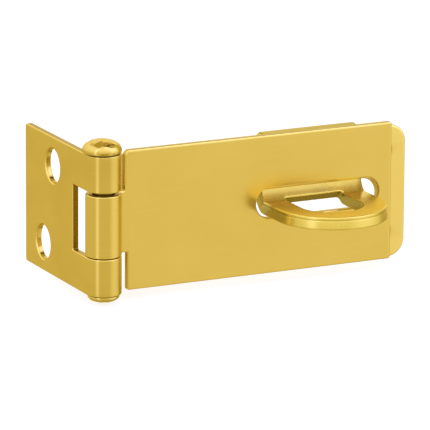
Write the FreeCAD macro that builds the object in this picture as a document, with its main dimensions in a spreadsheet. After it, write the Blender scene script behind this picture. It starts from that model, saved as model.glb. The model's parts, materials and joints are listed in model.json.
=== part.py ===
import FreeCAD, Part
import Sketcher
import math
import os

# Hasp and staple in stamped sheet metal, in millimetres.
# Every piece is drawn about the hinge pin: the pin's axis is Z, the long hasp leaf runs along +X
# and the small hinge leaf along +Y, and Z is 0 at the leaves' mid height. The finished pieces are
# then shifted so that the origin is on the hinge leaf's mounting face, between its two screw holes.

DIMENSIONS = {
    "leaf_height": 26.95,  # both leaves, along the pin
    "leaf_sheet": 1.3,
    "knuckle_radius": 3.4,
    "seam_gap": 0.25,  # where the hinge leaf's curl closes on its own leaf
    "hinge_reach": 28.15,  # pin axis to the hinge leaf's free edge
    "hinge_notch_depth": 6.55,  # pin axis to the wall of the notch between the knuckles
    "hinge_face_start": 3.5,  # pin axis to where the mounting face is clear of the curl
    "hinge_notch_height": 12.65,
    "hinge_notch_rise": 0.1,  # notch centre above mid height
    "leaf_hole_diameter": 6.6,
    "leaf_hole_reach": 17.9,  # pin axis to midway between the two holes
    "leaf_hole_stagger": 2.2,  # each hole's offset along the leaf
    "leaf_hole_rise": 7.9,  # each hole's offset above or below mid height
    "pin_diameter": 4.1,
    "head_radius": 3.7,
    "head_brim": 0.8,
    "head_dome": 1.95,
    "head_shift": 0.3,  # the head is upset a little to one side
    "tail_radius": 3.0,
    "tail_brim": 0.3,
    "tail_dome": 1.2,
    "hasp_reach": 60.6,  # pin axis to the hasp leaf's free edge
    "hasp_inset": 4.9,  # pin axis to the hasp leaf's edge below its knuckle
    "hasp_upper_inset": 4.3,  # pin axis to the hasp leaf's edge above its knuckle
    "hasp_knuckle_height": 11.9,
    "hasp_knuckle_drop": 0.15,  # centre knuckle below mid height
    "neck_bend": 2.0,  # centre line radius between the knuckle and the flat leaf
    "mouth_angle": 8.0,  # gap under the free end of the hasp leaf's curl, in degrees
    "slot_length": 26.1,
    "slot_height": 5.8,
    "slot_reach": 44.85,  # pin axis to the slot's middle
    "slot_rise": 0.25,
    "plate_gap": 0.15,  # closed hasp leaf to staple plate
    "plate_sheet": 1.0,
    "plate_length": 39.4,
    "plate_height": 26.1,
    "plate_corner": 3.5,
    "plate_reach": 44.7,
    "plate_drop": 0.5,
    "plate_slot_length": 27.0,
    "plate_slot_height": 6.0,
    "plate_hole_diameter": 5.2,
    "plate_hole_spread": 27.7,
    "plate_hole_pitch": 16.0,
    "strap_sheet": 2.45,
    "strap_width": 22.2,
    "strap_reach": 44.6,
    "strap_top": 0.35,  # upper face of the padlock eye
    "strap_bend": 1.9,  # inner radius where the strap turns up behind the plate
    "eye_projection": 16.6,  # tip of the eye in front of the pin axis
    "window_width": 12.3,
    "window_front": 11.95,  # front end of the window in front of the pin axis
    "window_turn": 40.0,  # how far the window runs up into the bend, in degrees
    "flange_top": 13.1,
    "flange_chamfer": 1.0,
}

# Quantities that several pieces share, as formulas of the sheet's cells.
ROLL = "(dim.knuckle_radius - dim.leaf_sheet / 2)"
NECK_SPAN = "(" + ROLL + " + dim.neck_bend)"
NECK_TURN = "acos((dim.leaf_sheet / 2 + dim.neck_bend) / " + NECK_SPAN + ")"
NECK_END = "(" + NECK_SPAN + " * sin(" + NECK_TURN + "))"
PLATE_BACK = "(dim.leaf_sheet + dim.plate_gap + dim.plate_sheet)"
BEND_Y = "(" + PLATE_BACK + " - dim.strap_bend)"
BEND_Z = "(dim.strap_top + dim.strap_bend)"
SHIFT_X = "(dim.knuckle_radius - dim.leaf_sheet)"
SHIFT_Y = "(-dim.leaf_hole_reach)"

ALONG_X = FreeCAD.Rotation(FreeCAD.Vector(0, 0, -1), FreeCAD.Vector(0, 1, 0), FreeCAD.Vector(1, 0, 0), "XYZ")
ALONG_Y = FreeCAD.Rotation(FreeCAD.Vector(1, 0, 0), -90)
ALONG_Z = FreeCAD.Rotation()
MOUTH_SIDE = FreeCAD.Rotation(FreeCAD.Vector(1, 0, 0), 180)
NECK_SIDE = FreeCAD.Rotation(
    FreeCAD.Vector(0, -1, 0), FreeCAD.Vector(-1, 0, 0), FreeCAD.Vector(0, 0, -1), "XYZ")

doc = FreeCAD.newDocument("hasp_and_staple")


def make_sheet():
    """Put the driving dimensions in a spreadsheet, one aliased cell each."""
    sheet = doc.addObject("Spreadsheet::Sheet", "dim")
    for row, (name, value) in enumerate(DIMENSIONS.items(), start=1):
        sheet.set("A%d" % row, name)
        sheet.set("B%d" % row, "%g" % value)
        sheet.setAlias("B%d" % row, name)
    doc.recompute()


def bind(obj, formulas):
    """Drive properties of an object by formulas of the sheet's cells."""
    for path, formula in formulas.items():
        obj.setExpression(path, formula)
    return obj


def move(obj, x, y, z):
    """Drive an object's position."""
    return bind(obj, {".Placement.Base.x": x, ".Placement.Base.y": y, ".Placement.Base.z": z})


def box(name, x, y, z):
    """A box between two formulas along each axis."""
    obj = doc.addObject("Part::Box", name)
    spans = {"Length": x, "Width": y, "Height": z}
    for size, (low, high) in spans.items():
        obj.setExpression(size, "(" + high + ") - (" + low + ")")
    return move(obj, x[0], y[0], z[0])


def rod(name, radius, length, x, y, z, way=ALONG_Z, angle="360"):
    """A cylinder, or a sector of one, that starts at a point and runs one way."""
    obj = doc.addObject("Part::Cylinder", name)
    obj.Placement.Rotation = way
    bind(obj, {"Radius": radius, "Height": length, "Angle": angle})
    return move(obj, x, y, z)


def dome(name, radius, rise, low, high, x, z):
    """Part of a flattened ball between two latitudes in degrees."""
    obj = doc.addObject("Part::Ellipsoid", name)
    obj.Angle1 = low
    obj.Angle2 = high
    bind(obj, {"Radius1": rise, "Radius2": radius, "Radius3": radius})
    return move(obj, x, "0", z)


def fuse(name, *shapes):
    obj = doc.addObject("Part::MultiFuse", name)
    obj.Shapes = list(shapes)
    return obj


def cut(name, base, tool):
    obj = doc.addObject("Part::Cut", name)
    obj.Base = base
    obj.Tool = tool
    return obj


def common(name, base, tool):
    obj = doc.addObject("Part::Common", name)
    obj.Base = base
    obj.Tool = tool
    return obj


def node(name, obj):
    """Name a finished piece and shift it to the part's own frame."""
    obj.Label = name
    return move(obj, SHIFT_X, SHIFT_Y, "0")


def hinge_leaf():
    """Small leaf: a flat sheet whose edge is curled round the pin in two knuckles."""
    half = "dim.leaf_height / 2"
    bore = "dim.knuckle_radius - dim.leaf_sheet"
    outside = rod("hinge_curl_outside", "dim.knuckle_radius", "dim.leaf_height", "0", "0", "-" + half)
    inside = rod("hinge_curl_inside", bore, "dim.leaf_height", "0", "0", "-" + half)
    seam = box("hinge_curl_seam", ("-2 * dim.knuckle_radius", "dim.seam_gap - (" + bore + ")"),
               ("0", "2 * dim.knuckle_radius"), ("-" + half, half))
    tube = cut("hinge_curl_tube", outside, inside)
    curl = cut("hinge_curl", tube, seam)
    # Two lengths, kept apart as faces, so that the mounting face's outline starts clear of the curl.
    thick = ("-dim.knuckle_radius", "-(" + bore + ")")
    neck = box("hinge_neck", thick, ("0", "dim.hinge_face_start"), ("-" + half, half))
    flat = box("hinge_flat", thick, ("dim.hinge_face_start", "dim.hinge_reach"), ("-" + half, half))
    blank = fuse("hinge_blank", curl, neck, flat)
    blank.Refine = False
    notch = box("hinge_notch", ("-2 * dim.knuckle_radius", "2 * dim.knuckle_radius"),
                ("-2 * dim.knuckle_radius", "dim.hinge_notch_depth"),
                ("dim.hinge_notch_rise - dim.hinge_notch_height / 2",
                 "dim.hinge_notch_rise + dim.hinge_notch_height / 2"))
    holes = []
    upper = ("dim.leaf_hole_reach - dim.leaf_hole_stagger", "dim.leaf_hole_rise")
    lower = ("dim.leaf_hole_reach + dim.leaf_hole_stagger", "-dim.leaf_hole_rise")
    for name, (along, rise) in (("upper", upper), ("lower", lower)):
        holes.append(rod("hinge_hole_" + name, "dim.leaf_hole_diameter / 2", "4 * dim.leaf_sheet",
                         "-dim.knuckle_radius - dim.leaf_sheet", along, rise, ALONG_X))
    openings = fuse("hinge_openings", notch, *holes)
    leaf = cut("hinge_leaf", blank, openings)
    leaf.Refine = False
    return node("hinge_leaf", leaf)


def hinge_pin():
    """Headed pin: a domed head upset a little to one side, a shank and a peened tail."""
    top = "dim.leaf_height / 2"
    shank = rod("pin_shank", "dim.pin_diameter / 2", "dim.leaf_height", "0", "0", "-" + top)
    brim = rod("pin_brim", "dim.head_radius", "dim.head_brim", "-dim.head_shift", "0", top)
    crown = top + " + dim.head_brim"
    cap = dome("pin_cap", "dim.head_radius", "dim.head_dome", 0, 90, "-dim.head_shift", crown)
    foot = "-(" + top + " + dim.tail_brim)"
    collar = rod("pin_collar", "dim.tail_radius", "dim.tail_brim", "0", "0", foot)
    peen = dome("pin_peen", "dim.tail_radius", "dim.tail_dome", -90, 0, "0", foot)
    return node("hinge_pin", fuse("hinge_pin", shank, brim, cap, collar, peen))


def stadium(name, length, height, x, z):
    """Tool for a slot with round ends, cut along Y."""
    start = "-4 * dim.leaf_sheet"
    depth = "10 * dim.leaf_sheet"
    straight = "((" + length + ") - (" + height + ")) / 2"
    middle = box(name + "_middle", (x + " - " + straight, x + " + " + straight),
                 (start, start + " + " + depth), (z + " - " + height + " / 2", z + " + " + height + " / 2"))
    ends = [rod(name + "_" + end, height + " / 2", depth, x + sign + straight, start, z, ALONG_Y)
            for end, sign in (("near", " - "), ("far", " + "))]
    return fuse(name, middle, *ends)


def hasp_leaf():
    """Long leaf: the centre knuckle, an S bend down to the flat sheet, and the slot."""
    knuckle_foot = "-dim.hasp_knuckle_drop - dim.hasp_knuckle_height / 2"
    knuckle_top = "-dim.hasp_knuckle_drop + dim.hasp_knuckle_height / 2"
    tall = "dim.hasp_knuckle_height"
    half = "dim.leaf_height / 2"
    bore = "dim.knuckle_radius - dim.leaf_sheet"
    outside = rod("hasp_curl_outside", "dim.knuckle_radius", tall, "0", "0", knuckle_foot)
    inside = rod("hasp_curl_inside", bore, tall, "0", "0", knuckle_foot)
    above = rod("hasp_mouth_above", "2 * dim.knuckle_radius", tall, "0", "0", knuckle_foot,
                ALONG_Z, "90 deg - " + NECK_TURN)
    below = rod("hasp_mouth_below", "2 * dim.knuckle_radius", tall, "0", "0", knuckle_top,
                MOUTH_SIDE, "dim.mouth_angle")
    curl = cut("hasp_curl", outside, fuse("hasp_curl_openings", inside, above, below))
    bend_x = NECK_SPAN + " * sin(" + NECK_TURN + ")"
    bend_y = NECK_SPAN + " * cos(" + NECK_TURN + ")"
    neck_outside = rod("hasp_neck_outside", "dim.neck_bend + dim.leaf_sheet / 2", tall, bend_x, bend_y,
                       knuckle_top, NECK_SIDE, NECK_TURN)
    neck_inside = rod("hasp_neck_inside", "dim.neck_bend - dim.leaf_sheet / 2", tall, bend_x, bend_y,
                      knuckle_top, NECK_SIDE, NECK_TURN)
    neck = cut("hasp_neck", neck_outside, neck_inside)
    strip = box("hasp_strip", (NECK_END, "dim.hasp_inset + dim.leaf_sheet"), ("0", "dim.leaf_sheet"),
                (knuckle_foot, knuckle_top))
    panel = box("hasp_panel", ("dim.hasp_inset", "dim.hasp_reach"), ("0", "dim.leaf_sheet"),
                ("-" + half, half))
    shoulder = box("hasp_shoulder", ("dim.hasp_upper_inset", "dim.hasp_inset + dim.leaf_sheet"),
                   ("0", "dim.leaf_sheet"), (knuckle_top, half))
    blank = fuse("hasp_blank", curl, neck, strip, panel, shoulder)
    slot = stadium("hasp_slot", "dim.slot_length", "dim.slot_height", "dim.slot_reach", "dim.slot_rise")
    return node("hasp_leaf", cut("hasp_leaf", blank, slot))


def staple_strap():
    """Thick strap: a half-round padlock eye with a window, a bend up behind the plate and a flange."""
    left = "dim.strap_reach - dim.strap_width / 2"
    right = "dim.strap_reach + dim.strap_width / 2"
    window_left = "dim.strap_reach - dim.window_width / 2"
    window_right = "dim.strap_reach + dim.window_width / 2"
    tip = "-2 * dim.eye_projection"
    across = (left, right)
    outer = "(dim.strap_bend + dim.strap_sheet)"
    eye = box("strap_eye", across, (tip, BEND_Y), ("dim.strap_top - dim.strap_sheet", "dim.strap_top"))
    wide = rod("strap_wide", outer, "dim.strap_width", left, BEND_Y, BEND_Z, ALONG_X, "90")
    tight = rod("strap_tight", "dim.strap_bend", "dim.strap_width", left, BEND_Y, BEND_Z, ALONG_X, "90")
    bend = cut("strap_turn", wide, tight)
    flange = box("strap_flange", across, (PLATE_BACK, PLATE_BACK + " + dim.strap_sheet"),
                 (BEND_Z, "dim.flange_top"))
    stock = fuse("strap_stock", eye, bend, flange)

    def rounded_plan(name, sides, front, back):
        """Tool seen from above: straight sides and a half-round front."""
        radius = "((" + sides[1] + ") - (" + sides[0] + ")) / 2"
        centre = "-(" + front + " - " + radius + ")"
        body = box(name + "_body", sides, (centre, back), ("-dim.leaf_height", "dim.leaf_height"))
        nose = rod(name + "_nose", radius, "2 * dim.leaf_height", "dim.strap_reach", centre,
                   "-dim.leaf_height")
        return fuse(name, body, nose)

    plan = rounded_plan("strap_plan", across, "dim.eye_projection", "dim.leaf_height")
    outline = common("strap_outline", stock, plan)
    window = rounded_plan("strap_window", (window_left, window_right), "dim.window_front", BEND_Y)
    window_end = rod("strap_window_end", "2 * " + outer, "dim.window_width", window_left, BEND_Y, BEND_Z,
                     ALONG_X, "dim.window_turn")
    corners = []
    for name, corner in (("near", left), ("far", right)):
        diamond = doc.addObject("Part::Box", "strap_corner_" + name)
        diamond.Placement.Rotation = FreeCAD.Rotation(FreeCAD.Vector(0, 1, 0), 45)
        side = "dim.flange_chamfer * sqrt(2)"
        bind(diamond, {"Length": side, "Height": side, "Width": "2 * dim.strap_sheet"})
        corners.append(move(diamond, corner + " - dim.flange_chamfer", PLATE_BACK, "dim.flange_top"))
    openings = fuse("strap_openings", window, window_end, *corners)
    return node("staple_strap", cut("staple_strap", outline, openings))


def plane(body, role):
    """One of a body's own origin planes."""
    return next(item for item in body.Origin.OriginFeatures if item.Role == role)


def face_sketch(body, name):
    """A sketch on the body's XZ plane: its horizontal is X and its vertical is Z."""
    sketch = body.newObject("Sketcher::SketchObject", name)
    sketch.AttachmentSupport = (plane(body, "XZ_Plane"), [""])
    sketch.MapMode = "FlatFace"
    return sketch


def constrain(sketch, *terms):
    """Add one constraint and return its index."""
    return sketch.addConstraint(Sketcher.Constraint(*terms))


def drive(sketch, formula, *terms):
    """Add a dimension to a sketch and bind it to the sheet."""
    index = constrain(sketch, *terms)
    sketch.setExpression("Constraints[%d]" % index, formula)


def draw_outline(sketch):
    """A rectangle with four equal round corners, centred on the origin."""
    half_x = DIMENSIONS["plate_length"] / 2
    half_z = DIMENSIONS["plate_height"] / 2
    radius = DIMENSIONS["plate_corner"]
    quarter = 90
    for turn in range(4):
        spin = FreeCAD.Rotation(FreeCAD.Vector(0, 0, 1), quarter * turn)
        along, up = (half_x, half_z) if turn % 2 == 0 else (half_z, half_x)
        side = [spin.multVec(FreeCAD.Vector(along, height, 0)) for height in (radius - up, up - radius)]
        sketch.addGeometry(Part.LineSegment(*side), False)
        centre = spin.multVec(FreeCAD.Vector(along - radius, up - radius, 0))
        circle = Part.Circle(centre, FreeCAD.Vector(0, 0, 1), radius)
        start = math.radians(quarter * turn)
        stop = math.radians(quarter * (turn + 1))
        sketch.addGeometry(Part.ArcOfCircle(circle, start, stop), False)
    sides = (0, 2, 4, 6)
    arcs = (1, 3, 5, 7)
    for side, arc in zip(sides, arcs):
        constrain(sketch, "Tangent", side, 2, arc, 1)
        constrain(sketch, "Tangent", arc, 2, (side + 2) % 8, 1)
    for arc in arcs[1:]:
        constrain(sketch, "Equal", arcs[0], arc)
    for side in sides:
        constrain(sketch, "Vertical" if side % 4 == 0 else "Horizontal", side)
    drive(sketch, "dim.plate_corner", "Radius", arcs[0], radius)
    drive(sketch, "dim.plate_length", "DistanceX", sides[2], 1, sides[0], 2, 2 * half_x)
    drive(sketch, "dim.plate_height", "DistanceY", sides[3], 1, sides[1], 2, 2 * half_z)
    drive(sketch, "dim.plate_length / 2", "DistanceX", -1, 1, sides[0], 2, half_x)
    drive(sketch, "dim.plate_height / 2", "DistanceY", -1, 1, sides[1], 2, half_z)


def draw_slot(sketch):
    """A slot with round ends, centred on the origin."""
    radius = DIMENSIONS["plate_slot_height"] / 2
    half = DIMENSIONS["plate_slot_length"] / 2 - radius
    up = FreeCAD.Vector(0, radius, 0)
    right = FreeCAD.Vector(half, 0, 0)
    sketch.addGeometry(Part.LineSegment(right + up, up - right), False)
    sketch.addGeometry(Part.Arc(up - right, FreeCAD.Vector(-half - radius, 0, 0), -right - up), False)
    sketch.addGeometry(Part.LineSegment(-right - up, right - up), False)
    sketch.addGeometry(Part.Arc(right - up, FreeCAD.Vector(half + radius, 0, 0), right + up), False)
    for first, second in ((0, 1), (1, 2), (2, 3), (3, 0)):
        constrain(sketch, "Tangent", first, 2, second, 1)
    constrain(sketch, "Horizontal", 0)
    constrain(sketch, "PointOnObject", 1, 3, -1)
    drive(sketch, "dim.plate_slot_height / 2", "Radius", 1, radius)
    drive(sketch, "dim.plate_slot_length / 2 - dim.plate_slot_height / 2", "DistanceX", 1, 3, -1, 1, half)
    drive(sketch, "dim.plate_slot_length / 2 - dim.plate_slot_height / 2", "DistanceX", -1, 1, 3, 3, half)


def draw_screw_holes(sketch):
    """Four screw holes at the corners of a rectangle."""
    spread = DIMENSIONS["plate_hole_spread"] / 2
    pitch = DIMENSIONS["plate_hole_pitch"] / 2
    radius = DIMENSIONS["plate_hole_diameter"] / 2
    for index, (right, up) in enumerate(((1, 1), (-1, 1), (-1, -1), (1, -1))):
        centre = FreeCAD.Vector(right * spread, up * pitch, 0)
        sketch.addGeometry(Part.Circle(centre, FreeCAD.Vector(0, 0, 1), radius), False)
        drive(sketch, "dim.plate_hole_diameter / 2", "Radius", index, radius)
        ends_x = (-1, 1, index, 3) if right > 0 else (index, 3, -1, 1)
        ends_y = (-1, 1, index, 3) if up > 0 else (index, 3, -1, 1)
        drive(sketch, "dim.plate_hole_spread / 2", "DistanceX", *ends_x, spread)
        drive(sketch, "dim.plate_hole_pitch / 2", "DistanceY", *ends_y, pitch)


def staple_plate():
    """Base plate behind the hasp leaf: rounded outline, a slot for the strap and four screw holes."""
    body = doc.addObject("PartDesign::Body", "staple_plate")
    outline = face_sketch(body, "plate_outline")
    draw_outline(outline)
    blank = body.newObject("PartDesign::Pad", "plate_blank")
    blank.Profile = outline
    blank.setExpression("Length", "dim.plate_sheet")
    doc.recompute()
    full = body.Shape.Volume
    for name, draw in (("slot", draw_slot), ("screw_holes", draw_screw_holes)):
        sketch = face_sketch(body, "plate_" + name)
        draw(sketch)
        pocket = body.newObject("PartDesign::Pocket", "plate_" + name + "_cut")
        pocket.Profile = sketch
        pocket.Type = "ThroughAll"
        pocket.Midplane = True
        doc.recompute()
        if body.Shape.Volume >= full:
            raise RuntimeError("the " + name + " cut nothing")
        full = body.Shape.Volume
    body.Label = "staple_plate"
    return move(body, "dim.plate_reach + " + SHIFT_X, PLATE_BACK + " + " + SHIFT_Y, "-dim.plate_drop")


def check(piece):
    """Stop on a piece that isn't one sound solid."""
    shape = piece.Shape
    if shape.isNull() or not shape.isValid() or len(shape.Solids) != 1:
        raise RuntimeError(piece.Label + " is not one valid solid")
    span = shape.BoundBox
    print("%-14s volume %8.1f  x %6.2f %6.2f  y %6.2f %6.2f  z %6.2f %6.2f" % (
        piece.Label, shape.Volume, span.XMin, span.XMax, span.YMin, span.YMax, span.ZMin, span.ZMax))


def main():
    make_sheet()
    pieces = [hinge_leaf(), hinge_pin(), hasp_leaf(), staple_plate(), staple_strap()]
    doc.recompute()
    failed = [obj.Name for obj in doc.Objects if {"Invalid", "Error"} & set(obj.State)]
    if failed:
        raise RuntimeError("failed objects: " + ", ".join(failed))
    for piece in pieces:
        check(piece)
    os.makedirs("parts", exist_ok=True)
    for piece in pieces:
        piece.Shape.exportStep("parts/" + piece.Label + ".step")


main()
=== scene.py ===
import json
import math

import bmesh
import bpy
from mathutils import Matrix, Vector, noise


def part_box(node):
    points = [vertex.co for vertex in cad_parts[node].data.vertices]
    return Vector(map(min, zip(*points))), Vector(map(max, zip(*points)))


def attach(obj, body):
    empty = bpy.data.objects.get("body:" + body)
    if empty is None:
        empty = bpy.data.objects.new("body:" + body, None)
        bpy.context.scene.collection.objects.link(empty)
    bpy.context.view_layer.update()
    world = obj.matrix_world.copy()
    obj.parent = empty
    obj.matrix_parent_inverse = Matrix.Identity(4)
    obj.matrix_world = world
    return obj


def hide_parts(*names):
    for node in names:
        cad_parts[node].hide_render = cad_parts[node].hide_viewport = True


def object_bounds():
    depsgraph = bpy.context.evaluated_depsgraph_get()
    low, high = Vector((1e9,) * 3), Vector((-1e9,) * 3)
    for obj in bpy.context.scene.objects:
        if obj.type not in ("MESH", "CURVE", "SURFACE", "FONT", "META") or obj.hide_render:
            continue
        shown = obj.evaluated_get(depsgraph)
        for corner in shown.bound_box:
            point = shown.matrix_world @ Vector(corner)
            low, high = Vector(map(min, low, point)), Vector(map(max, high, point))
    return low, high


# Hasp and staple. Each sheet piece is made as the real one is: a flat blank with rounded sheared
# edges, which is then bent along its path. Lengths of pieces are millimetres about the hinge pin,
# and become metres in the row's frame when a piece is finished. The studio's lengths are metres.

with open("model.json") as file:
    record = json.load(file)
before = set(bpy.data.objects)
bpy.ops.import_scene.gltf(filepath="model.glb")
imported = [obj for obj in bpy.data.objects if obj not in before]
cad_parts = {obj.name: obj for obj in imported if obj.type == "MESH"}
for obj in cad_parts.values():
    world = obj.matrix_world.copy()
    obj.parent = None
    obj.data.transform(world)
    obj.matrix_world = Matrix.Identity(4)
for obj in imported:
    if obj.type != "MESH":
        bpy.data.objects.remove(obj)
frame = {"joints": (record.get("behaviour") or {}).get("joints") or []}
cad_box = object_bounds()

MM = 0.001
PIN = Vector(next(j for j in frame["joints"] if j["name"] == "hasp_swing")["pos_m"])
ARC_STEP = math.radians(6)  # finest turn between two points of an arc
EDGE_STEPS = 8  # rings in each rounded edge
BURNISHED_LIT_WALL = 0.8  # share of edge on a wall that is polished rather than torn and faces the light: it gets little of the torn walls' darkening and painted shade
DULLED_HALF_LIT_WALL = 0.9  # share of edge on a wall that is half polished and faces up: it gets part of the torn walls' darkening and painted shade


def span(node):
    """Lowest and highest corner of a CAD node, in millimetres about the pin."""
    low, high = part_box(node)
    return (low - PIN) / MM, (high - PIN) / MM


# ---------------------------------------------------------------- outlines


def rounded(corners):
    """Closed outline through corners (along, across, radius), as points. A radius of 0 is a sharp corner."""
    points = []
    for index, (along, across, radius) in enumerate(corners):
        here = Vector((along, across))
        before = (Vector(corners[index - 1][:2]) - here).normalized()
        after = (Vector(corners[(index + 1) % len(corners)][:2]) - here).normalized()
        if radius == 0:
            points.append(here)
            continue
        half = before.angle(after) / 2
        centre = here + (before + after).normalized() * radius / math.sin(half)
        arm = here + before * radius / math.tan(half) - centre
        turn = math.copysign(math.pi - 2 * half, after.cross(before))
        count = max(2, math.ceil(abs(turn) / ARC_STEP))
        for step in range(count + 1):
            points.append(centre + Matrix.Rotation(turn * step / count, 2) @ arm)
    return [p for i, p in enumerate(points) if (p - points[i - 1]).length > 1e-6]


def rectangle(along, across, radius):
    """Outline of a rectangle between two limits each way, with round corners."""
    return rounded([(along[0], across[0], radius), (along[1], across[0], radius),
                    (along[1], across[1], radius), (along[0], across[1], radius)])


def hole(along, across, length, width):
    """Opening with round ends, centred on a point. It runs clockwise, so that metal is on its left."""
    radius = min(length, width) / 2
    sides = (along - length / 2, along + length / 2), (across - width / 2, across + width / 2)
    return rectangle(*sides, radius)[::-1]


def inset(loop, distance):
    """The loop moved into the metal on its left."""
    moved = []
    for index, here in enumerate(loop):
        before = (here - loop[index - 1]).normalized().orthogonal()
        after = (loop[(index + 1) % len(loop)] - here).normalized().orthogonal()
        moved.append(here + (before + after) * distance / (1 + before.dot(after)))
    return moved


# ---------------------------------------------------------------- sheet metal


def sheared_wall(sheet, roll, right, groove=None, draft=0, torn=1):
    """Rings of a blank's edge from its left face to its right: (height, inset, share of edge).
    The left face rolls over by (depth, width), and the right face's edge has a plain radius.
    A groove (depth below the left face, half width, inset) is the line where the shearing broke through.
    draft is how far the wall leans back over its height.
    torn is the share of edge between the two rounded edges."""
    rings = []
    for step in range(EDGE_STEPS + 1):
        angle = math.pi / 2 * step / EDGE_STEPS
        rings.append((sheet / 2 - roll[0] * (1 - math.cos(angle)), roll[1] * (1 - math.sin(angle)),
                      torn * step / EDGE_STEPS))
    if groove:
        depth, half, deep = groove
        for part in (-1, -0.5, 0, 0.5, 1):
            rings.append((sheet / 2 - depth - half * part, deep * (1 - abs(part)), torn))
    for step in range(EDGE_STEPS, -1, -1):
        angle = math.pi / 2 * step / EDGE_STEPS
        rings.append((-sheet / 2 + right * (1 - math.cos(angle)), right * (1 - math.sin(angle)),
                      torn * step / EDGE_STEPS))
    return [(height, sunk + draft * (height / sheet + 0.5), share) for height, sunk, share in rings]


def blank(outline, openings, wall, opening_wall):
    """A flat sheet as a bmesh: along, across and height are its x, y and z."""
    bm = bmesh.new()
    edge_layer = bm.verts.layers.float.new("edge")
    rims = ([], [])
    for loop in (outline, *openings):
        rings = []
        for height, distance, share in (wall if loop is outline else opening_wall):
            ring = [bm.verts.new((*p, height)) for p in inset(loop, distance)]
            for vert in ring:
                vert[edge_layer] = share
            rings.append(ring)
        count = len(loop)
        for upper, lower in zip(rings, rings[1:]):
            for i in range(count):
                j = (i + 1) % count
                bm.faces.new((upper[i], lower[i], lower[j], upper[j]))
        for rim, ring in zip(rims, (rings[0], rings[-1])):
            rim += [bm.edges.get((ring[i - 1], ring[i])) for i in range(count)]
    for rim in rims:
        bmesh.ops.triangle_fill(bm, use_beauty=True, edges=rim)
    return bm


def along_path(start, heading, runs, distance):
    """Point and heading after a distance along a path of (length, turn) runs."""
    point = Vector(start)
    left = distance
    for number, (length, turn) in enumerate(runs):
        last = number == len(runs) - 1
        step = left if last else min(left, length)
        swing = turn * step / length
        if abs(turn) < 1e-9:
            point += Vector((math.cos(heading), math.sin(heading))) * step
        else:
            radius = length / turn
            point += Vector((math.sin(heading + swing) - math.sin(heading),
                             math.cos(heading) - math.cos(heading + swing))) * radius
        heading += swing
        left -= step
        if left <= 0 and not last:
            break
    return point, heading


def bend(bm, start, heading, runs, axes):
    """Bend a blank along a path. axes are the directions of the path's two axes and of across."""
    distance = 0
    for length, turn in runs:
        pieces = max(1, math.ceil(abs(turn) / ARC_STEP))
        for step in range(pieces + 1):
            everything = bm.verts[:] + bm.edges[:] + bm.faces[:]
            bmesh.ops.bisect_plane(bm, geom=everything, dist=1e-5, plane_no=(1, 0, 0),
                                   plane_co=(distance + length * step / pieces, 0, 0))
        distance += length
    flat_layer = bm.verts.layers.float_vector.new("flat")
    for vert in bm.verts:
        vert[flat_layer] = vert.co * MM
        point, way = along_path(start, heading, runs, vert.co.x)
        normal = Vector((-math.sin(way), math.cos(way)))
        point += normal * vert.co.z
        vert.co = axes[0] * point.x + axes[1] * point.y + axes[2] * vert.co.y
    return bm


X, Y, Z = Vector((1, 0, 0)), Vector((0, 1, 0)), Vector((0, 0, 1))


def finish_piece(bm, name, node, body, material):
    """Turn a bmesh in millimetres about the pin into a piece that stands for a CAD node."""
    bmesh.ops.scale(bm, vec=(MM,) * 3, verts=bm.verts)
    bmesh.ops.translate(bm, vec=PIN, verts=bm.verts)
    bmesh.ops.recalc_face_normals(bm, faces=bm.faces)
    mesh = bpy.data.meshes.new(name)
    bm.to_mesh(mesh)
    bm.free()
    mesh.shade_smooth()
    mesh.materials.append(material)
    piece = bpy.data.objects.new(name, mesh)
    bpy.context.scene.collection.objects.link(piece)
    normals = piece.modifiers.new("flat_faces", "WEIGHTED_NORMAL")
    normals.weight = 100
    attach(piece, body)
    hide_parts(node)
    return piece


# ---------------------------------------------------------------- materials


def add(tree, kind, inputs=None, **settings):
    """A shader node. An input is a value, or a (node, output) pair to link from."""
    node = tree.nodes.new(kind)
    for name, value in settings.items():
        setattr(node, name, value)
    for socket, value in (inputs or {}).items():
        if isinstance(value, tuple) and isinstance(value[0], bpy.types.Node):
            tree.links.new(value[0].outputs[value[1]], node.inputs[socket])
        else:
            node.inputs[socket].default_value = value
    return node


def ramp(tree, source, stops):
    """Output of a colour ramp with (position, grey) stops."""
    node = add(tree, "ShaderNodeValToRGB", {"Fac": source})
    elements = node.color_ramp.elements
    while len(elements) < len(stops):
        elements.new(0.5)
    for element, (position, grey) in zip(elements, stops):
        element.position = position
        element.color = (grey, grey, grey, 1)
    return node, 0


def maths(tree, operation, *values):
    """Output of a maths node. Each value is a number or another node's output."""
    return add(tree, "ShaderNodeMath", dict(enumerate(values)), operation=operation), 0


def noise_map(tree, place, scale, detail, roughness):
    """Output of a noise texture."""
    settings = {"Vector": place, "Scale": scale, "Detail": detail, "Roughness": roughness}
    return add(tree, "ShaderNodeTexNoise", settings), "Fac"


def stretched(tree, place, scale):
    """A place scaled by a different amount in each direction."""
    return add(tree, "ShaderNodeMapping", {"Vector": place, "Scale": scale}), 0


# size of the noise patterns, in cells per metre along, across and through the flat sheet
GRAIN_CELLS = (110, 2400, 900)
SHEAR_CELLS = (700, 700, 4000)
CLOUD_CELLS = 75
SPECK_CELLS = 1300
STREAK_SWING = 0.02  # brightness the rolling grain adds
STREAK_LEVEL = 0.985  # brightness between its streaks
WORN_GAIN = 0.05  # brightness that wear adds at an edge
GRAIN_ROUGHNESS = (-0.03, 0.04)  # what the rolling grain changes, at least and at most
TARNISH_ROUGHNESS = 0.05
TORN_ROUGHNESS = 0.06
GRAIN_RELIEF = 0.5  # height of the grain in the skin's bump, against 1 for its specks
SKIN_BUMP = (0.05, 0.00003)  # strength and depth in metres
TORN_BUMP = (0.05, 0.00008)
WARM_GRAZE = (0.93, 0.85, 0.6)  # tint of reflections at a grazing angle


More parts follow.
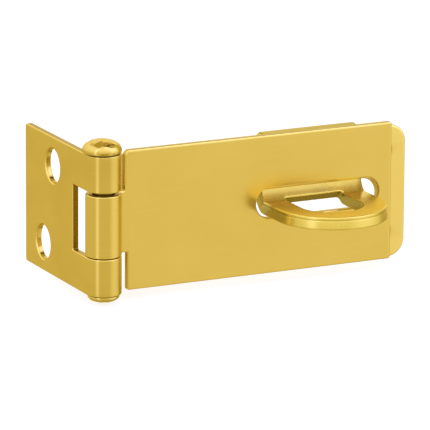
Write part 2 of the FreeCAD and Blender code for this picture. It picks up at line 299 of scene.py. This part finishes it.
def plating(name, colour, deep, metallic, roughness, seed, shade):
    """Bright brass plating on rolled steel: fine rolling grain, cloudy tarnish, paler worn edges.
    deep is the colour of the tarnish, and shade is how much darker sheared walls and crevices are painted:
    partly the torn metal's own duller tone and partly painted shade, where walls turn away from the light
    and crevices lie in shade."""
    material = bpy.data.materials.new(name)
    material.use_nodes = True
    tree = material.node_tree
    tree.nodes.clear()
    flat = (add(tree, "ShaderNodeAttribute", attribute_name="flat"), "Vector")
    place = (add(tree, "ShaderNodeVectorMath", {0: flat, 1: (seed, -seed, seed / 2)}, operation="ADD"), 0)
    grain = noise_map(tree, stretched(tree, place, GRAIN_CELLS), 1, 4, 0.6)
    shear = noise_map(tree, stretched(tree, place, SHEAR_CELLS), 1, 3, 0.55)
    cloud = noise_map(tree, place, CLOUD_CELLS, 5, 0.55)
    speck = noise_map(tree, place, SPECK_CELLS, 2, 0.6)
    edge = (add(tree, "ShaderNodeAttribute", attribute_name="edge"), "Fac")
    # side marks sheared walls and crevices: it gives the torn metal's own duller tone and also paints shade
    # where walls face away from the light
    side = ramp(tree, edge, [(0.0, 0), (0.75, 0), (1.0, 1)])
    worn = ramp(tree, edge, [(0.0, 0), (0.4, 1), (0.7, 1), (1.0, 0)])

    tarnish = ramp(tree, cloud, [(0.3, 0), (0.72, 1)])
    streaks = ramp(tree, grain, [(0.35, 0), (0.65, 1)])
    tint = add(tree, "ShaderNodeMix", {"Factor": tarnish, 6: (*colour, 1), 7: (*deep, 1)}, data_type="RGBA")
    bright = maths(tree, "MULTIPLY_ADD", streaks, STREAK_SWING, STREAK_LEVEL)
    lifted = maths(tree, "MULTIPLY_ADD", worn, WORN_GAIN, bright)
    # painted shade: sheared walls and crevices are darkened by shade, together with the torn metal's own
    # duller tone
    shaded = maths(tree, "MULTIPLY_ADD", side, -shade, lifted)
    final = add(tree, "ShaderNodeVectorMath", {0: (tint, 2), "Scale": shaded}, operation="SCALE")

    rough_grain = add(tree, "ShaderNodeMapRange", {
        "Value": grain, "From Min": 0.3, "From Max": 0.7,
        "To Min": roughness + GRAIN_ROUGHNESS[0], "To Max": roughness + GRAIN_ROUGHNESS[1]})
    rough_cloud = maths(tree, "MULTIPLY_ADD", tarnish, TARNISH_ROUGHNESS, (rough_grain, 0))
    rough_side = maths(tree, "MULTIPLY_ADD", side, TORN_ROUGHNESS, rough_cloud)

    fine = maths(tree, "MULTIPLY_ADD", grain, GRAIN_RELIEF, speck)
    skin = add(tree, "ShaderNodeBump", {
        "Height": fine, "Strength": SKIN_BUMP[0], "Distance": SKIN_BUMP[1]})
    torn = maths(tree, "MULTIPLY", shear, side)
    normal = add(tree, "ShaderNodeBump", {
        "Height": torn, "Strength": TORN_BUMP[0], "Distance": TORN_BUMP[1], "Normal": (skin, 0)})
    shader = add(tree, "ShaderNodeBsdfPrincipled", {
        "Base Color": (final, 0), "Metallic": metallic, "Roughness": rough_side, "Normal": (normal, 0),
        "Specular Tint": (*WARM_GRAZE, 1)})
    add(tree, "ShaderNodeOutputMaterial", {"Surface": (shader, 0)})
    return material


# ---------------------------------------------------------------- pieces

UPRIGHT = (X, Y, Z)  # leaves and plate: the path lies in the horizontal plane
SIDEWAYS = (Y, Z, X)  # strap: the path rises from the eye to the flange

LEAF_SHEET = 1.3
KNUCKLE_MIDDLE = 2.75  # radius of the curled sheet's middle


def hinge_leaf(material):
    """Small leaf: flat sheet with a notch, its edge curled round the pin in two knuckles."""
    low, high = span("hinge_leaf")
    reach = high.y
    curl_turn = math.radians(308)
    curl = KNUCKLE_MIDDLE * curl_turn
    end = reach + curl
    notch = reach - 6.55  # 6.55 mm behind the pin's axis
    notch_foot, notch_top = -6.22, 6.42
    curl_corner, notch_corner, free_corner = 0.3, 0.25, 0.5
    outline = rounded([
        (0, low.z, free_corner), (end, low.z, curl_corner),
        (end, notch_foot, curl_corner), (notch, notch_foot, notch_corner),
        (notch, notch_top, notch_corner), (end, notch_top, curl_corner),
        (end, high.z, curl_corner), (0, high.z, free_corner)])
    hole_width = 6.6
    hole_places = ((15.7, 7.9), (20.1, -7.9))  # distance behind the pin's axis, and height
    openings = [hole(reach - behind, height, hole_width, hole_width) for behind, height in hole_places]
    # The holes' walls are burnished and stand in the light, so they get little of the painted shade on
    # sheared walls.
    bm = blank(outline, openings, sheared_wall(LEAF_SHEET, (0.15, 0.2), 0.24),
               sheared_wall(LEAF_SHEET, (0.25, 0.35), 0.4, torn=BURNISHED_LIT_WALL))
    bend(bm, (-KNUCKLE_MIDDLE, reach), -math.pi / 2, [(reach, 0), (curl, curl_turn)], UPRIGHT)
    return finish_piece(bm, "hinge_leaf_sheet", "hinge_leaf", "hinge_side", material)


def hasp_leaf(material):
    """Long leaf: slotted flat sheet, an S bend and the centre knuckle."""
    low, high = span("hasp_leaf")
    reach = high.x
    bend_radius = 2.0
    neck_span = KNUCKLE_MIDDLE + bend_radius
    neck_turn = math.acos((LEAF_SHEET / 2 + bend_radius) / neck_span)
    neck_x = neck_span * math.sin(neck_turn)
    mouth = math.radians(8)
    curl_turn = 3 * math.pi / 2 + neck_turn - mouth
    flat = reach - neck_x
    neck = bend_radius * neck_turn
    curl = KNUCKLE_MIDDLE * curl_turn
    end = flat + neck + curl
    lower_inset, upper_inset = 4.9, 4.3  # pin's axis to the edges below and above the knuckle
    lower_shoulder, upper_shoulder = reach - lower_inset, reach - upper_inset
    knuckle_foot, knuckle_top = -6.1, 5.8
    corner = 0.46
    inner_corner = 0.3
    cut_corner = 0.8
    cut_round = 0.6
    outline = rounded([
        (0, low.z, corner), (lower_shoulder, low.z, corner), (lower_shoulder, knuckle_foot, inner_corner),
        (end, knuckle_foot, corner), (end, knuckle_top, corner),
        (upper_shoulder, knuckle_top, inner_corner), (upper_shoulder, high.z - cut_corner, cut_round),
        (upper_shoulder - cut_corner, high.z, cut_round), (0, high.z, corner)])
    slot_middle, slot_height = 44.85, 0.25  # from the pin's axis
    slot_length, slot_width = 26.1, 5.8
    slot = hole(reach - slot_middle, slot_height, slot_length, slot_width)
    bm = blank(outline, [slot], sheared_wall(LEAF_SHEET, (0.28, 0.45), 0.22),
               sheared_wall(LEAF_SHEET, (0.25, 0.3), 0.12))
    bend(bm, (reach, LEAF_SHEET / 2), math.pi,
         [(flat, 0), (neck, -neck_turn), (curl, curl_turn)], UPRIGHT)
    return finish_piece(bm, "hasp_leaf_sheet", "hasp_leaf", "hasp", material)


def staple_plate(material):
    """Base plate: rounded outline, a slot for the strap and four screw holes."""
    low, high = span("staple_plate")
    centre = (low + high) / 2
    sheet = high.y - low.y
    corner = 3.5
    slot_length, slot_width = 27.0, 6.0
    hole_pitch, hole_rise, hole_width = 27.7, 16, 5.2
    outline = rectangle((low.x, high.x), (low.z, high.z), corner)
    openings = [hole(centre.x, centre.z, slot_length, slot_width)]
    for side in (-1, 1):
        for level in (-1, 1):
            place = (centre.x + side * hole_pitch / 2, centre.z + level * hole_rise / 2)
            openings.append(hole(*place, hole_width, hole_width))
    wall = sheared_wall(sheet, (0.15, 0.15), 0.45)
    bm = blank(outline, openings, wall, wall)
    bend(bm, (0, centre.y), 0, [(high.x, 0)], UPRIGHT)
    return finish_piece(bm, "staple_plate_sheet", "staple_plate", "staple", material)


def staple_strap(material):
    """Thick strap: a half-round padlock eye with a window, bent up behind the plate."""
    low, high = span("staple_strap")
    middle = (low.x + high.x) / 2
    half = (high.x - low.x) / 2
    thick = 2.45
    crease_y = 0.95  # where the eye's flat top ends
    crease_radius = 0.1
    crease_turn = math.radians(38)
    crease_cut = crease_radius * math.tan(crease_turn / 2)
    rest_turn = math.pi / 2 - crease_turn
    bend_radius = (high.y - thick - crease_y) / (1 - math.sin(crease_turn))
    runs = [(crease_y - crease_cut - low.y, 0),
            ((crease_radius + thick / 2) * crease_turn, crease_turn),
            ((bend_radius + thick / 2) * rest_turn, rest_turn),
            (high.z - low.z - thick - bend_radius * math.cos(crease_turn), 0)]
    end = sum(length for length, turn in runs)
    chamfer = 1.0
    chamfer_round = 0.8
    outline = rounded([
        (0, -half, half), (end - chamfer, -half, chamfer_round), (end, -half + chamfer, chamfer_round),
        (end, half - chamfer, chamfer_round), (end - chamfer, half, chamfer_round), (0, half, half)])
    eye_reach, window_reach = 16.6, 11.95  # in front of the hasp leaf's face
    window_front = eye_reach - window_reach
    past_crease = 0.55
    window_end = runs[0][0] + runs[1][0] + past_crease
    window_half = 12.3 / 2
    window_corner = 0.6
    window = rounded([
        (window_front, -window_half, window_half), (window_end, -window_half, window_corner),
        (window_end, window_half, window_corner), (window_front, window_half, window_half)])[::-1]
    groove = (0.72, 0.16, 0.12)
    draft = 0.36
    wall = sheared_wall(thick, (0.3, 0.3), 0.35, groove, draft)
    bm = blank(outline, [window], wall, sheared_wall(thick, (0.3, 0.3), 0.35))
    edge_layer = bm.verts.layers.float["edge"]
    nose = half - 2.4  # the eye's front, burnished and facing the light, ends here; it gets little painted shade
    flange_end = end - 2 * chamfer
    # The eye's front faces the light and the flange's end faces up, so their walls get less painted shade
    # than the eye's sides and window walls, which stand in shade.
    for vert in bm.verts:
        if vert[edge_layer] == 1 and vert.co.x < nose:
            vert[edge_layer] = BURNISHED_LIT_WALL
        elif vert[edge_layer] == 1 and vert.co.x > flange_end:
            vert[edge_layer] = DULLED_HALF_LIT_WALL
    bend(bm, (low.y, low.z + thick / 2), 0, runs, SIDEWAYS)
    bmesh.ops.translate(bm, vec=(middle, 0, 0), verts=bm.verts)
    return finish_piece(bm, "staple_strap_bar", "staple_strap", "staple", material)


def spun(profile, shift, segments=96):
    """Bmesh of a profile turned about an upright axis. The profile is (radius, height, share of edge)
    points, and shift gives how far the axis is moved at a height."""
    bm = bmesh.new()
    edge_layer = bm.verts.layers.float.new("edge")
    rings = []
    for radius, height, share in profile:
        ring = []
        for step in range(segments if radius else 1):
            angle = 2 * math.pi * step / segments
            place = (shift(height) + radius * math.cos(angle), radius * math.sin(angle), height)
            ring.append(bm.verts.new(place))
            ring[-1][edge_layer] = share
        rings.append(ring)
    for lower, upper in zip(rings, rings[1:]):
        for i in range(segments):
            j = (i + 1) % segments
            corners = [lower[i % len(lower)], lower[j % len(lower)],
                       upper[j % len(upper)], upper[i % len(upper)]]
            bm.faces.new(list(dict.fromkeys(corners)))
    return bm


def arc(centre_radius, centre_height, reach, rise, start, stop, count, share):
    """Points of an ellipse arc between two angles in degrees, for a turned profile."""
    points = []
    for step in range(count + 1):
        angle = math.radians(start + (stop - start) * step / count)
        radius = centre_radius + reach * math.cos(angle)
        points.append((radius, centre_height + rise * math.sin(angle), share))
    return points


PEEN_DEPTH = 0.09  # hammer marks on both ends of the pin
PEEN_PITCH = 1.25  # noise cells per millimetre


def hinge_pin(material):
    """Headed pin: peened tail, shank and a domed head upset a little to one side."""
    low, high = span("hinge_pin")
    leaf_low, leaf_high = span("hinge_leaf")
    shank = 4.1 / 2
    head, head_brim, head_shift = 3.7, 0.8, -0.3
    tail, tail_brim = 3.0, 0.3
    soft = 0.35  # radius over the tail
    brow = 0.55  # radius under the head's brim
    foot = leaf_low.z - tail_brim
    top = leaf_high.z
    shank_top = top - 0.01  # just under the head, which is off the shank's axis
    profile = [(0, low.z, 0)]
    profile += arc(0, foot, tail, foot - low.z, -84, 0, 14, 0)
    # The tail's upper rim, the shank and the underside of the brim get a full share of edge, so the material
    # paints shade into the crevices over the tail, in the gaps between knuckles and under the head.
    profile += arc(tail - soft, leaf_low.z - soft, soft, soft, 30, 90, 4, 1)
    profile += [(shank, leaf_low.z, 1), (shank, shank_top, 1)]
    profile += arc(head - brow, top + brow, brow, brow, -90, -30, 5, 1)
    profile += arc(head - brow, top + brow, brow, brow, -15, 0, 2, 0)
    profile += arc(0, top + head_brim, head, high.z - top - head_brim, 0, 86, 30, 0)
    profile.append((0, high.z, 0))
    bm = spun(profile, lambda height: head_shift if height >= top else 0)
    flat_layer = bm.verts.layers.float_vector.new("flat")
    for vert in bm.verts:
        vert[flat_layer] = vert.co * MM
        if vert.co.z > top + brow or vert.co.z < foot:
            vert.co.z += PEEN_DEPTH * (noise.noise(vert.co * PEEN_PITCH) - 0.5)
    return finish_piece(bm, "hinge_pin_turned", "hinge_pin", "hinge_side", material)


# ---------------------------------------------------------------- studio

AZIMUTH = math.radians(-26.17)
ELEVATION = math.radians(14.39)
ROLL = math.radians(0.374)
DISTANCE = 0.88728
LENS = 399.5
AIM = PIN + Vector((18.788, -8.736, 1.649)) * MM


TENT_LEVEL = 0.74
# bright and dark panels: compass angle, half width, half width with the soft border (degrees), and level
TENT_PANELS = [(-154, 5, 12, 0.42), (-40, 8, 42, 0.28), (16, 10, 24, -0.34)]
# level from straight down (0) to straight up (1)
TENT_HEIGHT = [(0.0, 0.36), (0.2, 0.44), (0.3, 0.48), (0.37, 0.5), (0.5, 0.62), (0.62, 0.76), (0.8, 0.85),
               (1.0, 0.88)]
TENT_OPENING = (0.186, 0.379, 0.906)  # direction of the dark opening at the top
OPENING_RIM = (0.81, 0.96)  # cosine of the angle to that direction, at the border and where it is full
OPENING_LEVEL = -0.45
TENT_GAIN = 2.0
TENT_COLOUR = [("Red", 1.03, 0.83), ("Green", 0.92, 1.0), ("Blue", 0.72, 2.2)]  # gain and power
FLOOR_RADIUS = 4
FLOOR_GAP = 0.0005
FLOOR_COLOUR = (0.3, 0.3, 0.3, 1)
FLOOR_GLOW = 0.8


def camera():
    """Long lens from the front left and a little above."""
    right = Vector((math.cos(AZIMUTH), math.sin(AZIMUTH), 0))
    back = Vector((math.sin(AZIMUTH) * math.cos(ELEVATION), -math.cos(AZIMUTH) * math.cos(ELEVATION),
                   math.sin(ELEVATION)))
    up = back.cross(right)
    rolled_right = right * math.cos(ROLL) + up * math.sin(ROLL)
    rolled_up = up * math.cos(ROLL) - right * math.sin(ROLL)
    data = bpy.data.cameras.new("camera")
    data.sensor_width = 36
    data.lens = LENS
    data.clip_start = 0.01
    data.clip_end = 20
    cam = bpy.data.objects.new("camera", data)
    turn = Matrix((rolled_right, rolled_up, back)).transposed().to_4x4()
    cam.matrix_world = Matrix.Translation(AIM + back * DISTANCE) @ turn
    bpy.context.scene.collection.objects.link(cam)
    bpy.context.scene.camera = cam


def tent():
    """White light tent: a middling level all round, two bright panels, a dark gap at one side and a dark
    opening at the top. Its dim parts are warmer than its bright ones."""
    world = bpy.data.worlds.new("light_tent")
    bpy.context.scene.world = world
    world.use_nodes = True
    tree = world.node_tree
    tree.nodes.clear()
    way = (add(tree, "ShaderNodeTexCoord"), "Generated")
    axes = add(tree, "ShaderNodeSeparateXYZ", {0: way})
    around = maths(tree, "ARCTAN2", (axes, 1), (axes, 0))
    total = TENT_LEVEL
    for middle, inner, outer, level in TENT_PANELS:
        away = maths(tree, "ABSOLUTE", maths(tree, "SUBTRACT", around, math.radians(middle)))
        panel = add(tree, "ShaderNodeMapRange", {
            "Value": away, "From Min": math.radians(inner), "From Max": math.radians(outer),
            "To Min": level, "To Max": 0}, interpolation_type="SMOOTHSTEP")
        total = maths(tree, "ADD", (panel, 0), total)
    toward = add(tree, "ShaderNodeVectorMath", {0: way, 1: TENT_OPENING}, operation="DOT_PRODUCT")
    opening = add(tree, "ShaderNodeMapRange", {
        "Value": (toward, "Value"), "From Min": OPENING_RIM[0], "From Max": OPENING_RIM[1],
        "To Min": 0, "To Max": OPENING_LEVEL}, interpolation_type="SMOOTHSTEP")
    total = maths(tree, "ADD", total, (opening, 0))
    height = add(tree, "ShaderNodeMapRange", {"Value": (axes, 2), "From Min": -1, "From Max": 1})
    light = maths(tree, "MULTIPLY", total, ramp(tree, (height, 0), TENT_HEIGHT))
    level = maths(tree, "MULTIPLY", light, TENT_GAIN)
    channels = {}
    for channel, gain, power in TENT_COLOUR:
        channels[channel] = maths(tree, "MULTIPLY", maths(tree, "POWER", level, power), gain)
    colour = add(tree, "ShaderNodeCombineColor", channels)
    background = add(tree, "ShaderNodeBackground", {"Color": (colour, 0)})
    add(tree, "ShaderNodeOutputWorld", {"Surface": (background, 0)})


def floor():
    """Plain pale floor under the object."""
    bm = bmesh.new()
    bmesh.ops.create_circle(bm, cap_ends=True, radius=FLOOR_RADIUS, segments=96)
    mesh = bpy.data.meshes.new("studio_floor")
    bm.to_mesh(mesh)
    bm.free()
    ground = bpy.data.objects.new("studio_floor", mesh)
    ground.location = (0, 0, cad_box[0].z - FLOOR_GAP)
    ground.visible_glossy = False
    bpy.context.scene.collection.objects.link(ground)
    material = bpy.data.materials.new("studio_floor")
    material.use_nodes = True
    tree = material.node_tree
    tree.nodes.clear()
    paper = add(tree, "ShaderNodeBsdfDiffuse", {"Color": FLOOR_COLOUR})
    glow = add(tree, "ShaderNodeEmission", {"Color": (1, 1, 1, 1), "Strength": FLOOR_GLOW})
    both = add(tree, "ShaderNodeAddShader", {0: (paper, 0), 1: (glow, 0)})
    add(tree, "ShaderNodeOutputMaterial", {"Surface": (both, 0)})
    mesh.materials.append(material)


scene = bpy.context.scene
scene.view_settings.view_transform = "Standard"
camera()
tent()
floor()

GOLD = (0.777, 0.611, 0.17)
DEEP_GOLD = (0.748, 0.582, 0.15)
TARNISHED_GOLD = (0.70, 0.54, 0.13)
PALE_GOLD = (0.87, 0.71, 0.23)
DEEP_PALE_GOLD = (0.84, 0.68, 0.205)
STRAP_GOLD = (0.80, 0.65, 0.15)
DEEP_STRAP_GOLD = (0.77, 0.62, 0.13)
# shade darkens the leaf's sheared walls, the notch's wall most of all: the torn metal's own tone and painted
# shade.
hinge_leaf(plating("brass_hinge_leaf", GOLD, TARNISHED_GOLD,
                   metallic=1.0, roughness=0.17, seed=0.11, shade=0.45))
# The pin's shade paints dark crevices under its head, over its tail and in the gaps between knuckles.
hinge_pin(plating("brass_pin", GOLD, TARNISHED_GOLD,
                  metallic=1.0, roughness=0.13, seed=0.23, shade=0.75))
hasp_leaf(plating("brass_hasp_leaf", GOLD, DEEP_GOLD,
                  metallic=1.0, roughness=0.17, seed=0.37, shade=0.25))
staple_plate(plating("brass_plate", PALE_GOLD, DEEP_PALE_GOLD,
                     metallic=1.0, roughness=0.2, seed=0.53, shade=0.2))
# shade paints the eye's sides and window walls dark: partly the torn metal's own tone, partly painted shade.
staple_strap(plating("brass_strap", STRAP_GOLD, DEEP_STRAP_GOLD,
                     metallic=0.86, roughness=0.2, seed=0.71, shade=0.45))
